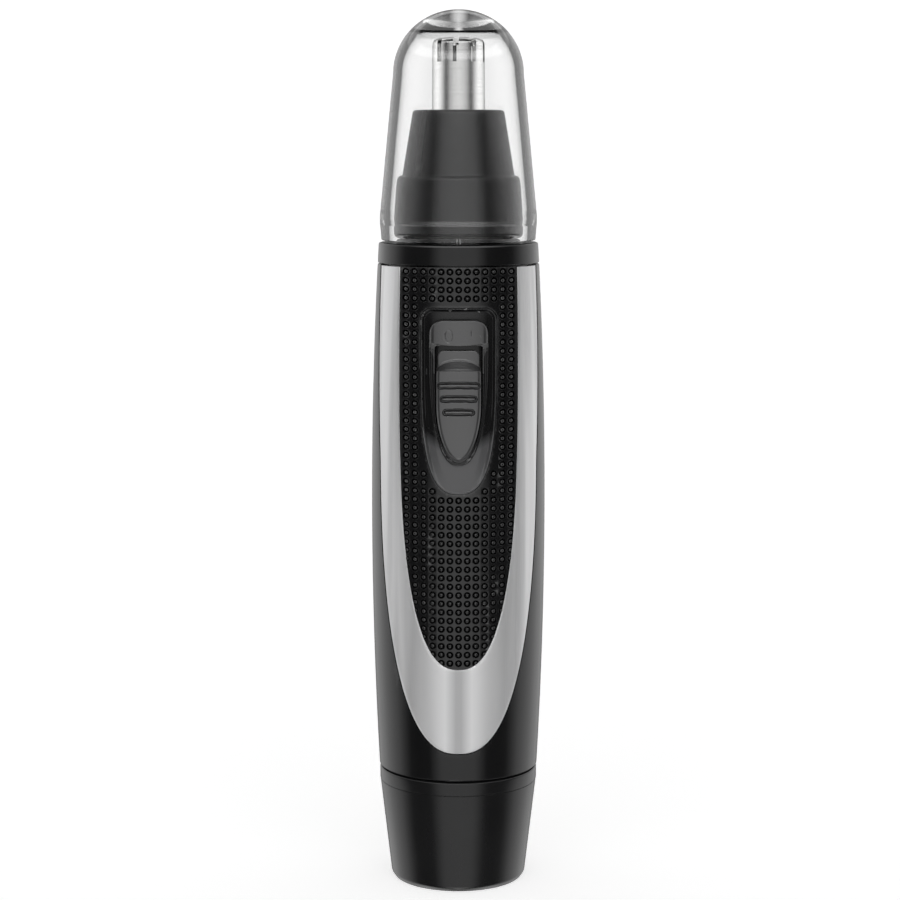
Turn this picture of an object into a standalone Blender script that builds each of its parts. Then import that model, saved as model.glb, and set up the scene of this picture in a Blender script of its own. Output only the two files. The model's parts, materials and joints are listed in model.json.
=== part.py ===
"""Battery nose hair trimmer, built as separate named pieces.

The frame is +Z up along the body, with the origin at the centre of the flat base and the
switch facing -Y. Sizes are in millimetres, and the mesh helpers turn them into metres.
Each piece is modelled about its own origin, which lies on the axis of the trimmer, and is
placed by its height. The empties stand for the bodies that move together. The battery cap
stands on the ground, and everything else lifts off it.
"""

import math

import bmesh
import bpy
from mathutils import Matrix, Vector

MM = 0.001

# Driving dimensions
BODY_RADIUS = 13.1  # the barrel at its widest
BODY_WAIST_Z = 56.5  # height of the widest point
BODY_ARC = 720.0  # radius of the long arc of the barrel's side
SEAM_Z = 17.5  # joint between the battery cap and the body
BODY_TOP = 94.2  # joint between the body and the collar
COLLAR_TOP = 97.4
HEAD_Z = 98.8  # lower edge of the head
SHROUD_TOP = 116.9
TUBE_TOP = 127.4
COVER_Z = 97.7  # rim of the clear cover
HEIGHT = 131.7

BASE_RADIUS = 9.6  # flat part of the base
CELL_RADIUS = 7.1  # one AA cell
CELL_LENGTH = 50.5
CELL_Z = 9.0
MOTOR_RADIUS = 8.5
MOTOR_FLAT = 6.5  # half the distance across the motor's flats
NECK_RADIUS = 6.7
TUBE_RADIUS = 4.0
SLOTS = 9
SLOT_WIDTH = 0.85

HEAD_TWIST = 25.0  # degrees
CAP_TWIST = 30.0  # degrees
LUG_ANGLE = 12.0  # degrees spanned by one bayonet lug

GAP = 0.3  # clearance between pieces that touch
SEAM = 0.2  # clearance at the seams that show
BODY_BORE = 10.7  # inside radius of the barrel housing
INLAY = 0.7  # thickness of the trim and of the grip pad
TRIM_WIDTH, TRIM_TIP, TRIM_BEND = 11.6, 21.9, 46.0  # half width, lowest point, bend height
TRIM_BACK = -3.3  # how far round the sides the trim reaches
GRIP_WIDTH, GRIP_TIP, GRIP_BEND = 8.65, 34.8, 38.0

ROUND = 40  # sides of the pieces that show
INNER = 24  # sides of the pieces inside
REACH = 16.0  # how far the front cutters and moulds reach from the axis
SHALLOW = -1.0  # where they stop, just in front of the axis

MATERIALS = {
    "clear_plastic": ((0.82, 0.84, 0.85), 0.08, 0.0),
    "gloss_black": ((0.012, 0.012, 0.013), 0.22, 0.0),
    "satin_black": ((0.022, 0.022, 0.023), 0.38, 0.0),
    "satin_silver": ((0.56, 0.56, 0.57), 0.30, 0.9),
    "grip_rubber": ((0.015, 0.015, 0.016), 0.62, 0.0),
    "switch_grey": ((0.055, 0.055, 0.057), 0.42, 0.0),
    "blade_steel": ((0.62, 0.62, 0.61), 0.22, 1.0),
    "spring_steel": ((0.52, 0.51, 0.49), 0.28, 1.0),
    "contact_nickel": ((0.66, 0.62, 0.52), 0.32, 1.0),
    "inner_plastic": ((0.60, 0.60, 0.57), 0.45, 0.0),
    "seal_rubber": ((0.018, 0.018, 0.018), 0.70, 0.0),
    "cell_jacket": ((0.10, 0.16, 0.24), 0.35, 0.1),
    "magnet_grey": ((0.10, 0.10, 0.10), 0.60, 0.1),
    "copper_winding": ((0.55, 0.24, 0.10), 0.35, 0.9),
}


def barrel(z):
    """Radius of the body's outer face at height z."""
    return BODY_RADIUS - (z - BODY_WAIST_Z) ** 2 / (2 * BODY_ARC)


def heights(low, high, count):
    """Evenly spaced heights from low to high, both included."""
    return [low + (high - low) * i / (count - 1) for i in range(count)]


def material(name):
    """The named Principled material, made on first use."""
    if name in bpy.data.materials:
        return bpy.data.materials[name]
    colour, roughness, metallic = MATERIALS[name]
    mat = bpy.data.materials.new(name)
    mat.use_nodes = True
    shader = mat.node_tree.nodes["Principled BSDF"]
    shader.inputs["Base Color"].default_value = (*colour, 1.0)
    shader.inputs["Roughness"].default_value = roughness
    shader.inputs["Metallic"].default_value = metallic
    if name == "clear_plastic":
        shader.inputs["Transmission Weight"].default_value = 0.9
    return mat


def add_object(name, bm, finish, seat=(0.0, 0.0, 0.0)):
    """Turn a mesh in millimetres into an object in metres whose origin stands at the seat."""
    bmesh.ops.transform(bm, matrix=Matrix.Scale(MM, 4), verts=bm.verts)
    bmesh.ops.recalc_face_normals(bm, faces=bm.faces)
    mesh = bpy.data.meshes.new(name)
    bm.to_mesh(mesh)
    bm.free()
    mesh.shade_smooth()
    mesh.set_sharp_from_angle(angle=math.radians(32))
    obj = bpy.data.objects.new(name, mesh)
    obj.location = Vector(seat) * MM
    bpy.context.collection.objects.link(obj)
    if finish:
        mesh.materials.append(material(finish))
    return obj


def group(name, z, parent=None):
    """An empty on the axis that carries the pieces moving together."""
    empty = bpy.data.objects.new(name, None)
    empty.empty_display_size = 5 * MM
    bpy.context.collection.objects.link(empty)
    empty.location.z = z * MM
    if parent:
        join_group(empty, parent)
    return empty


def join_group(obj, parent):
    """Parent an object to an empty and leave it where it stands."""
    obj.location -= carried(parent)
    obj.parent = parent


def carried(empty):
    """World position of an empty that is only moved, never turned."""
    place = empty.location.copy()
    while empty.parent:
        empty = empty.parent
        place += empty.location
    return place


# Shapes


def turned_mesh(profile, sides):
    """Spin a (radius, height) profile about Z; it is closed unless both ends are on the axis."""
    bm = bmesh.new()
    verts = [bm.verts.new((r, 0.0, z)) for r, z in profile]
    edges = [bm.edges.new(pair) for pair in zip(verts, verts[1:])]
    if profile[0][0] > 0.0:
        edges.append(bm.edges.new((verts[-1], verts[0])))
    bmesh.ops.spin(
        bm,
        geom=edges,
        cent=(0, 0, 0),
        axis=(0, 0, 1),
        angle=math.tau,
        steps=sides,
        use_merge=True,
    )
    bmesh.ops.remove_doubles(bm, verts=bm.verts, dist=1e-4)
    return bm


def turned(name, profile, finish=None, z=0.0, sides=ROUND):
    """A turned piece whose profile heights are measured from its own origin at z."""
    return add_object(name, turned_mesh(profile, sides), finish, (0.0, 0.0, z))


def box(name, size, centre, finish=None, turn=0.0):
    """A box of the given size, turned about Z through its own centre."""
    bm = bmesh.new()
    bmesh.ops.create_cube(bm, size=1.0)
    bmesh.ops.scale(bm, vec=size, verts=bm.verts)
    spin = Matrix.Rotation(math.radians(turn), 3, "Z")
    bmesh.ops.rotate(bm, cent=(0, 0, 0), matrix=spin, verts=bm.verts)
    return add_object(name, bm, finish, centre)


def prism(name, outline, back=SHALLOW):
    """An (x, z) outline extruded from in front of the trimmer to the back, as a tool."""
    bm = bmesh.new()
    face = bm.faces.new([bm.verts.new((x, -REACH, height)) for x, height in outline])
    side = bmesh.ops.extrude_face_region(bm, geom=[face])["geom"]
    moved = [item for item in side if isinstance(item, bmesh.types.BMVert)]
    bmesh.ops.translate(bm, vec=(0.0, back + REACH, 0.0), verts=moved)
    return as_tool(add_object(name, bm, None))


def ring(name, radius, thickness, z, finish, sides=ROUND):
    """A seal: a round-section ring whose middle lies at height z."""
    steps = 6
    turns = [math.tau * i / steps for i in range(steps)]
    profile = [(radius + thickness * math.cos(a), thickness * math.sin(a)) for a in turns]
    return turned(name, profile, finish, z, sides)


def sector(name, inner, outer, low, high, middle, span):
    """A wedge between two radii that spans an angle about the middle direction, in degrees."""
    steps = max(2, round(span / 6))
    angles = [math.radians(middle - span / 2 + span * i / steps) for i in range(steps + 1)]
    outline = [(outer * math.cos(a), outer * math.sin(a)) for a in angles]
    outline += [(inner * math.cos(a), inner * math.sin(a)) for a in reversed(angles)]
    bm = bmesh.new()
    face = bm.faces.new([bm.verts.new((x, y, low)) for x, y in outline])
    side = bmesh.ops.extrude_face_region(bm, geom=[face])["geom"]
    moved = [item for item in side if isinstance(item, bmesh.types.BMVert)]
    bmesh.ops.translate(bm, vec=(0.0, 0.0, high - low), verts=moved)
    return as_tool(add_object(name, bm, None))


def coil(name, radius, wire, low, high, turns, finish, seat_z):
    """A coil spring as a bevelled curve with capped ends."""
    curve = bpy.data.curves.new(name, "CURVE")
    curve.dimensions = "3D"
    curve.bevel_depth = wire * MM
    curve.bevel_resolution = 1
    curve.use_fill_caps = True
    steps = 10 * turns
    path = curve.splines.new("POLY")
    path.points.add(steps)
    for i, point in enumerate(path.points):
        angle = math.tau * turns * i / steps
        height = low + (high - low) * i / steps
        place = Vector((radius * math.cos(angle), radius * math.sin(angle), height))
        point.co = (*(place * MM), 1.0)
    obj = bpy.data.objects.new(name, curve)
    obj.location.z = seat_z * MM
    bpy.context.collection.objects.link(obj)
    curve.materials.append(material(finish))
    return obj


# Boolean work


def as_tool(obj):
    """Mark an object as a guide that only cuts or trims others."""
    obj.hide_render = True
    obj.display_type = "WIRE"
    return obj


def combine(target, tool, operation):
    """Add an exact Boolean modifier to the target."""
    as_tool(tool)
    step = target.modifiers.new(tool.name, "BOOLEAN")
    step.solver = "EXACT"
    step.operation = operation
    step.object = tool
    return target


def cut(target, tool):
    """Remove the tool's volume from the target."""
    return combine(target, tool, "DIFFERENCE")


def keep(target, tool):
    """Keep only what lies inside the tool."""
    return combine(target, tool, "INTERSECT")


def fuse(target, tool):
    """Join the tool to the target as one solid."""
    return combine(target, tool, "UNION")


# Outlines on the front, as (x, z) points


def pointed_oval(half_width, tip, bend, power, steps=12):
    """The lower half of a superellipse, from the right side through the tip to the left."""
    points = []
    for i in range(2 * steps + 1):
        angle = math.pi / 2 * (1 - i / steps)
        x = half_width * math.copysign(abs(math.sin(angle)) ** (2 / power), angle)
        points.append((x, tip + bend - bend * abs(math.cos(angle)) ** (2 / power)))
    return points


def shield(half_width, tip, bend, power, top, corner, steps=4):
    """A pointed oval closed above by a flat top with rounded corners."""
    points = []
    for side in (-1, 1):
        for i in range(steps + 1):
            turn = math.pi / 2 * (i / steps if side < 0 else 1 - i / steps)
            x = side * (half_width - corner + corner * math.cos(turn))
            points.append((x, top - corner + corner * math.sin(turn)))
    return points + pointed_oval(half_width, tip, bend, power)


def u_outline(half_width, tip, bend, top, steps=12):
    """A pointed oval whose sides run straight up to the top."""
    return [(-half_width, top), (half_width, top)] + pointed_oval(half_width, tip, bend, 2.5, steps)


def shell_profile(inner, outer, low, high, count):
    """Profile of a shell that follows the barrel between two offsets from its face."""
    levels = heights(low, high, count)
    return [(barrel(z) + outer, z) for z in levels] + [
        (barrel(z) + inner, z) for z in reversed(levels)
    ]


# Outside pieces


def make_protective_cap(parent):
    """Clear domed cover: a cone under an oval dome, open below, with a thick crown."""
    wall, shoulder, dome_z, dome_radius = 1.3, 3.5, 24.6, 9.75
    ceiling = [(6.75, 29.45), (6.35, 29.9), (5.7, 30.2), (0.0, 30.5)]
    top = HEIGHT - COVER_Z
    rise = top - dome_z
    outer = [(11.53, 0.0), (11.75, shoulder), (10.7, 14.5), (dome_radius, dome_z)]
    inner = [(10.2, 0.0), (10.4, shoulder), (9.4, 14.5), (dome_radius - wall, dome_z)]
    steps = 6
    for i in range(1, steps):
        angle = math.pi / 2 * i / steps
        across, up = math.cos(angle), math.sin(angle)
        outer.append((dome_radius * across, dome_z + rise * up))
        if angle < math.radians(35):
            inner.append(((dome_radius - wall) * across, dome_z + (rise - wall) * up))
    profile = (inner + ceiling)[::-1] + outer + [(0.0, top)]
    join_group(turned("protective_cap", profile, "clear_plastic", COVER_Z), parent)


def make_head_shroud(parent):
    """Black conical shroud with a round shoulder and a hole for the guard tube."""
    z = HEAD_Z
    top = SHROUD_TOP - z
    shoulder = [(9.26, 7.0), (9.05, 7.65), (8.72, 8.15), (8.28, 8.45)]
    outer = [(9.45, 0.0), (9.66, 0.25), (9.66, 2.0)] + shoulder
    outer += [(6.72, top - 0.75), (6.5, top - 0.2), (6.0, top)]
    inner = [(4.35, top), (4.35, top - 1.2), (5.4, top - 1.2), (6.9, 7.8), (8.3, 7.5), (8.35, 0.0)]
    join_group(turned("head_shroud", outer + inner, "gloss_black", z), parent)


def make_guard_tube(parent):
    """Steel guard tube, closed at the top and slotted over its rounded edge."""
    foot = 106.5
    top = TUBE_TOP - foot
    wall, edge, tip_radius = 0.7, 0.9, 3.85
    outer = [(5.2, 0.0), (5.2, 0.8), (TUBE_RADIUS, 0.8), (tip_radius, top - edge)]
    for i in (1, 2):
        angle = math.pi / 2 * i / 3
        across = tip_radius - edge + edge * math.cos(angle)
        outer.append((across, top - edge + edge * math.sin(angle)))
    outer += [(tip_radius - edge, top), (0.0, top)]
    inner = [(0.0, top - wall), (tip_radius - wall, top - wall), (TUBE_RADIUS - wall, 0.0)]
    tube = turned("guard_tube", inner + outer, "blade_steel", foot, 36)
    slot_low, slot_start, slot_end = 123.9, 1.7, 5.0
    middle = (slot_start + slot_end) / 2
    for i in range(SLOTS):
        angle = math.radians(-96 + 360 * i / SLOTS)
        size = (slot_end - slot_start, SLOT_WIDTH, 6.0)
        centre = (middle * math.cos(angle), middle * math.sin(angle), slot_low + 3.0)
        cut(tube, box(f"cutter_guard_slot_{i}", size, centre, None, math.degrees(angle)))
    join_group(tube, parent)


def make_collar(parent):
    """Black band above the body, with the low step that the clear cover fits over."""
    z = BODY_TOP + SEAM
    top = COLLAR_TOP - z
    profile = [(10.4, -1.7), (10.4, 0.0), (12.1, 0.0), (11.95, top - 0.45), (11.8, top - 0.1)]
    profile += [(11.5, top), (9.3, top), (9.3, top + 0.8), (9.1, top + 1.0), (7.1, top + 1.0)]
    profile += [(7.1, -1.7)]
    join_group(turned("collar_ring", profile, "gloss_black", z), parent)


def front_recess(grow):
    """Cutter for the pocket that holds the trim and the pad, grown all round by a margin."""
    pocket = turned(
        "cutter_front_pocket",
        shell_profile(-INLAY - SEAM, 2.0, TRIM_TIP - 3, BODY_TOP + 2, 8),
    )
    outline = u_outline(TRIM_WIDTH + grow, TRIM_TIP - grow, TRIM_BEND, BODY_TOP + 1)
    return keep(pocket, prism("mould_front_pocket", outline, TRIM_BACK + GAP))


def switch_opening(name, near, far):
    """Cutter for the slot in which the slider's stem runs."""
    return as_tool(box(name, (3.2, far - near, 6.6), (0.0, (near + far) / 2, 76.0)))


def make_body(parent):
    """Barrel housing, recessed in front for the trim, the pad and the switch."""
    low = SEAM_Z + SEAM / 2
    ledge = low + 2.1
    levels = heights(low, BODY_TOP, 9)
    outer = [(barrel(low) - 0.15, low)] + [(barrel(z), z) for z in levels[1:]]
    outer.insert(1, (barrel(low), low + 0.15))
    inner = [(BODY_BORE, BODY_TOP), (BODY_BORE, ledge), (10.15, ledge), (10.15, low)]
    body = turned("body_housing", outer + inner, "gloss_black")
    cut(body, front_recess(0.12))
    cut(body, switch_opening("cutter_body_switch", -15, -8))
    join_group(body, parent)


def make_front_trim(parent):
    """Satin silver U that frames the grip pad and ends under the collar."""
    outline = u_outline(TRIM_WIDTH, TRIM_TIP, TRIM_BEND, BODY_TOP - 0.1)
    profile = shell_profile(-INLAY, 0.1, TRIM_TIP - 2, BODY_TOP, 8)
    trim = turned("front_trim", profile, "satin_silver")
    keep(trim, prism("mould_trim_outside", outline, TRIM_BACK))
    hole = u_outline(GRIP_WIDTH, GRIP_TIP, GRIP_BEND, BODY_TOP + 2)
    cut(trim, prism("cutter_trim_inside", hole))
    join_group(trim, parent)


def recess_outline(grow=0.0):
    """Outline of the switch recess, rounded above and pointed below."""
    return shield(5.55 + grow, 61.1 - grow, 18.9, 2.8, 88.3 + grow, 1.6)


def make_grip_pad(parent):
    """Rubber pad inside the trim, open around the switch."""
    width, tip = GRIP_WIDTH - SEAM, GRIP_TIP + SEAM
    outline = u_outline(width, tip, GRIP_BEND, BODY_TOP - 0.1)
    profile = shell_profile(-INLAY, 0.0, GRIP_TIP - 2, BODY_TOP, 7)
    pad = turned("grip_pad", profile, "grip_rubber")
    keep(pad, prism("mould_grip_pad", outline))
    cut(pad, prism("cutter_grip_switch", recess_outline(SEAM)))
    join_group(pad, parent)


def make_switch_bezel(parent):
    """Sunken surround of the switch, with the slot for the stem."""
    profile = shell_profile(-INLAY, -0.35, 59, 90, 4)
    bezel = turned("switch_bezel", profile, "satin_black")
    keep(bezel, prism("mould_bezel", recess_outline()))
    cut(bezel, switch_opening("cutter_bezel_switch", -15, -9))
    join_group(bezel, parent)


def make_switch_frame(parent):
    """Raised frame around the slider, with the hood that the slider's tab runs under."""
    profile = shell_profile(-0.1, 1.0, 63, 88, 4)
    frame = turned("switch_frame", profile, "switch_grey")
    keep(frame, prism("mould_frame", shield(4.25, 65.3, 17.6, 2.5, 86.6, 1.2)))
    hood_edge, pocket_top = 82.8, 85.2
    hole = shield(3.75, 65.75, 9.0, 2.0, hood_edge, 0.4)
    cut(frame, prism("cutter_frame_hole", hole))
    pocket = turned("cutter_hood_pocket", shell_profile(-2.0, 0.55, 80, pocket_top, 2))
    lane = [(-3.65, 80.5), (3.65, 80.5), (3.65, 86), (-3.65, 86)]
    keep(pocket, prism("mould_hood_pocket", lane))
    cut(frame, pocket)
    join_group(frame, parent)


def make_switch_slider(parent):
    """Slider with a low tab above, a raised thumb pad with three ribs, and its stem."""
    tab_top, crest = 82.2, 79.3
    slider = turned("switch_slider", shell_profile(0.0, 0.3, 64, tab_top, 4), "switch_grey")
    outline = shield(3.4, 66.1, 8.5, 2.0, tab_top + 1, 0.3)
    keep(slider, prism("mould_slider", outline))
    thumb = turned("mould_thumb_shell", shell_profile(0.1, 1.0, 64, crest, 4))
    pad_outline = shield(3.4, 66.1, 8.5, 2.0, crest + 1, 0.3)
    keep(thumb, prism("mould_thumb", pad_outline))
    fuse(slider, thumb)
    for i, half in enumerate((3.1, 2.65, 2.2)):
        middle = 77.15 - 1.97 * i
        rib = turned(f"mould_rib_{i}", shell_profile(0.5, 1.3, middle - 0.45, middle + 0.45, 2))
        lane = [(-half, 70), (half, 70), (half, 80), (-half, 80)]
        keep(rib, prism(f"mould_rib_lane_{i}", lane))
        fuse(slider, rib)
    stem = box("mould_stem", (2.2, 2.8, 3.0), (0.0, -(barrel(75.0) - 1.2), 75.0))
    fuse(slider, stem)
    join_group(slider, parent)


def bayonet_slot(name, inner, outer, low, high, middle, twist, sense):
    """A pocket, open below, in which a lug turns through the twist with a little to spare."""
    spare = 3.0
    span = LUG_ANGLE + twist + 2 * spare
    return sector(name, inner, outer, low, high, middle + sense * twist / 2, span)


def make_battery_cap(parent):
    """Tapered black cap with a flat base and two lugs inside its mouth."""
    mouth, band = SEAM_Z - SEAM / 2, 15.2
    outer = [(0.0, 0.0), (BASE_RADIUS, 0.0), (10.0, 0.12), (10.25, 0.8), (11.97, band)]
    outer += [(barrel(SEAM_Z), mouth - 0.15), (barrel(SEAM_Z) - 0.15, mouth)]
    inner = [(10.3, mouth), (10.3, 9.2), (8.7, 8.6), (8.7, 1.8), (0.0, 1.8)]
    cap = turned("battery_cap", outer + inner, "satin_black")
    for i, side in enumerate((0, 180)):
        lug = sector(f"mould_cap_lug_{i}", 9.55, 10.8, 10.4, 12.0, side, LUG_ANGLE)
        fuse(cap, lug)
    join_group(cap, parent)


# Head, neck and chassis


def make_head_insert(parent):
    """Bearing insert of the head, with two pockets for the neck's lugs."""
    z = 99.6
    profile = [(7.05, 0.0), (7.9, 0.0), (7.9, 6.4), (2.6, 6.4), (2.6, 5.3), (7.05, 5.3)]
    insert = turned("head_insert", profile, "inner_plastic", z, INNER)
    for i, side in enumerate((0, 180)):
        name = f"cutter_insert_pocket_{i}"
        cut(insert, bayonet_slot(name, 6.0, 7.6, z - 1, 104.0, side, HEAD_TWIST, -1))
    join_group(insert, parent)


def make_chassis(parent):
    """Battery tube, motor cradle and neck in one moulding."""
    tube, wall, cradle = 7.6, 9.3, 10.3
    profile = [(tube, 10.0), (wall, 10.0), (9.9, 10.4), (9.9, 13.2), (9.1, 13.2), (9.1, 14.8)]
    profile += [(9.9, 14.8), (9.9, 20.0), (10.5, 20.0), (10.5, 21.4), (wall, 21.4), (wall, 60.6)]
    profile += [(cradle, 61.4), (cradle, 92.0), (NECK_RADIUS, 92.0), (NECK_RADIUS, 104.4)]
    profile += [(5.2, 104.4), (5.2, 90.6), (8.85, 90.6), (8.85, 62.2), (2.0, 62.2), (2.0, 60.6)]
    profile += [(tube, 60.6)]
    chassis = turned("chassis", profile, "inner_plastic", 0.0, INNER)
    cut(chassis, box("cutter_cradle_window", (16.4, 5.0, 27.6), (0.0, -10.5, 76.2)))
    cut(chassis, box("cutter_contact_slot", (3.2, 4.6, 5.2), (0.0, -8.4, 61.4)))
    cut(chassis, box("cutter_strip_slot", (3.2, 1.3, 53.0), (0.0, 8.05, 36.3)))
    for i, side in enumerate((0, 180)):
        lug = sector(f"mould_neck_lug_{i}", 6.2, 7.4, 101.0, 102.8, side, LUG_ANGLE)
        fuse(chassis, lug)
        name = f"cutter_tube_pocket_{i}"
        cut(chassis, bayonet_slot(name, 9.35, 11.0, 9.0, 12.6, side, CAP_TWIST, 1))
    join_group(chassis, parent)


# Drive


def flat_sided(name, profile, half, z, finish=None):
    """A turned piece trimmed to two flats, front and back."""
    piece = turned(name, profile, finish, z, INNER)
    return keep(piece, box(f"mould_{name}", (30, 2 * half, 60), (0.0, 0.0, 76.0)))


def make_motor(handle, rotor):
    """Flat-sided can motor: can, end bell, magnets, armature, shaft and terminals."""
    wall, can_z, bell_z = 0.7, 65.3, 62.5
    outside = [(0.0, 0.0), (MOTOR_RADIUS, 0.0), (MOTOR_RADIUS, 22.7), (3.0, 22.7), (3.0, 24.2)]
    outside += [(0.0, 24.2)]
    bore = MOTOR_RADIUS - wall
    inside = [(0.0, -1.0), (bore, -1.0), (bore, 22.0), (1.4, 22.0), (1.4, 25.0), (0.0, 25.0)]
    can = flat_sided("motor_can", outside, MOTOR_FLAT, can_z, "contact_nickel")
    cut(can, flat_sided("cutter_can_inside", inside, MOTOR_FLAT - wall, can_z))
    join_group(can, handle)
    bell = [(1.4, 0.0), (MOTOR_RADIUS - 0.15, 0.0), (MOTOR_RADIUS - 0.15, 2.5), (1.4, 2.5)]
    end_bell = flat_sided("motor_end_bell", bell, MOTOR_FLAT - 0.1, bell_z, "satin_black")
    join_group(end_bell, handle)
    for side, name in ((0, "motor_magnet_right"), (180, "motor_magnet_left")):
        magnet = sector(name, 5.8, bore - 0.2, 68.0, 84.0, side, 84.0)
        magnet.hide_render = False
        magnet.display_type = "TEXTURED"
        magnet.data.materials.append(material("magnet_grey"))
        join_group(magnet, handle)
    for side, name in ((-1, "motor_terminal_left"), (1, "motor_terminal_right")):
        centre = (side * 3.4, -MOTOR_FLAT - 0.55, 64.8)
        join_group(box(name, (2.0, 0.5, 4.4), centre, "contact_nickel"), handle)
    armature = [(1.3, 0.0), (2.8, 0.0), (2.8, 3.0), (5.4, 3.0), (5.4, 14.0), (2.6, 14.0)]
    armature += [(2.6, 16.0), (1.3, 16.0)]
    join_group(turned("motor_armature", armature, "copper_winding", 67.5, INNER), rotor)
    shaft = [(0.0, 0.0), (1.0, 0.0), (1.0, 34.5), (0.0, 34.5)]
    join_group(turned("motor_shaft", shaft, "spring_steel", 63.2, 16), rotor)


def make_drive_dog(rotor):
    """Coupling on the motor shaft whose key drives the cutter's fork."""
    profile = [(0.0, 5.6), (3.0, 5.6), (3.0, 0.0), (1.3, 0.0), (1.3, 4.8), (0.0, 4.8)]
    dog = turned("drive_dog", profile, "inner_plastic", 93.4, INNER)
    fuse(dog, box("mould_dog_key", (4.4, 0.9, 3.6), (0.0, 0.0, 100.6)))
    join_group(dog, rotor)


def make_cutter(parent):
    """Spinning cutter: forked spindle, blade, spring and washer."""
    spindle_profile = [(0.0, 0.0), (2.5, 0.0), (2.5, 4.4), (2.2, 4.4), (2.2, 8.4), (1.5, 8.8)]
    spindle_profile += [(1.5, 21.6), (0.0, 21.6)]
    spindle = turned("cutter_spindle", spindle_profile, "inner_plastic", 99.9, INNER)
    cut(spindle, box("cutter_fork_slot", (6.0, 3.1, 6.4), (0.0, 0.0, 99.9)))
    join_group(spindle, parent)
    washer = [(1.8, 0.0), (3.0, 0.0), (3.0, 0.6), (1.8, 0.6)]
    join_group(turned("spring_washer", washer, "blade_steel", 119.6, INNER), parent)
    join_group(coil("cutter_spring", 2.7, 0.28, 0.0, 10.2, 6, "spring_steel", 108.9), parent)
    hub = [(0.0, 0.0), (1.2, 0.0), (1.2, 4.6), (0.0, 4.6)]
    blade = turned("cutter_blade", hub, "blade_steel", 121.8, INNER)
    for i in (0, 1):
        fuse(blade, box(f"mould_blade_{i}", (5.8, 0.6, 4.4), (0.0, 0.0, 124.1), None, 90 * i))
    join_group(blade, parent)


# Battery and contacts


def make_battery(parent):
    """One AA cell, positive end up."""
    nub, edge = 1.2, 0.5
    body = CELL_LENGTH - nub
    profile = [(0.0, 0.0), (CELL_RADIUS - edge, 0.0), (CELL_RADIUS, edge)]
    profile += [(CELL_RADIUS, body - edge), (CELL_RADIUS - edge, body), (2.7, body)]
    profile += [(2.7, CELL_LENGTH), (0.0, CELL_LENGTH)]
    join_group(turned("aa_cell", profile, "cell_jacket", CELL_Z, INNER), parent)


def make_contacts(handle, slider, battery_cap):
    """Springs and strips that carry the current."""
    cup = [(0.0, 0.0), (8.3, 0.0), (8.3, 7.3), (7.9, 7.3), (7.9, 0.4), (0.0, 0.4)]
    plate = turned("cap_contact_cup", cup, "contact_nickel", 2.1, INNER)
    join_group(plate, battery_cap)
    spring = coil("cap_spring", 4.2, 0.35, 0.0, 5.2, 4, "spring_steel", 3.2)
    join_group(spring, battery_cap)
    strip = box("negative_strip", (2.4, 0.4, 50.6), (0.0, 8.15, 35.0), "contact_nickel")
    fuse(strip, box("mould_strip_foot", (2.2, 0.75, 0.5), (0.0, 8.05, 9.95)))
    join_group(strip, handle)
    plate_profile = [(0.0, 0.0), (6.0, 0.0), (6.0, 0.4), (0.0, 0.4)]
    positive = turned("positive_contact", plate_profile, "contact_nickel", 59.9, INNER)
    fuse(positive, box("mould_positive_arm", (2.4, 4.1, 0.4), (0.0, -7.4, 60.1)))
    fuse(positive, box("mould_positive_strip", (2.4, 0.4, 12.2), (0.0, -9.25, 66.0)))
    join_group(positive, handle)
    upper = box("switch_contact", (2.4, 0.4, 7.0), (0.0, -9.25, 83.2), "contact_nickel")
    join_group(upper, handle)
    leaf = box("slider_contact", (2.0, 0.3, 6.4), (0.0, -9.9, 75.4), "contact_nickel")
    join_group(leaf, slider)


def make_head(head, head_lock, cover, cutter):
    """Everything above the collar."""
    make_protective_cap(cover)
    make_head_shroud(head)
    make_guard_tube(head)
    make_head_insert(head)
    join_group(ring("head_seal", 7.4, 0.4, 99.0, "seal_rubber", INNER), head_lock)
    make_cutter(cutter)


def make_handle(handle, rotor, slider):
    """The body between the collar and the battery cap, and what is inside it."""
    make_collar(handle)
    make_body(handle)
    make_front_trim(handle)
    make_grip_pad(handle)
    make_switch_bezel(handle)
    make_switch_frame(handle)
    make_switch_slider(slider)
    make_chassis(handle)
    make_motor(handle, rotor)
    make_drive_dog(rotor)


def build():
    """Clear the scene and make every piece in its group."""
    for obj in list(bpy.data.objects):
        bpy.data.objects.remove(obj)
    battery_door = group("battery_door", 0.0)
    cap_lock = group("cap_lock", 14.0, battery_door)
    handle = group("handle", 14.0, cap_lock)
    head_lock = group("head_lock", HEAD_Z, handle)
    head = group("head", HEAD_Z, head_lock)
    cover = group("cover", COVER_Z, head)
    cutter = group("cutter", 99.9, head)
    rotor = group("rotor", 63.2, handle)
    slider = group("slider", 75.0, handle)
    cell = group("cell", CELL_Z, handle)
    make_head(head, head_lock, cover, cutter)
    make_handle(handle, rotor, slider)
    make_battery_cap(battery_door)
    join_group(ring("battery_cap_seal", 9.7, 0.42, 14.0, "seal_rubber"), cap_lock)
    make_battery(cell)
    make_contacts(handle, slider, battery_door)


build()
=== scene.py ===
"""Looks of the battery nose hair trimmer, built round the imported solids.

The frame is +Z up along the body, with the switch facing -Y. Shapes are worked out in
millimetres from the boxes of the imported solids, and the mesh helpers turn them into metres.
The pieces on the front lie on the barrel: they are drawn as (x, z) outlines and stand at an
offset from the barrel's face.
"""

import json
import math

import bmesh
import bpy
import numpy as np
from mathutils import Euler, Matrix, Vector
from mathutils.geometry import delaunay_2d_cdt


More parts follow.
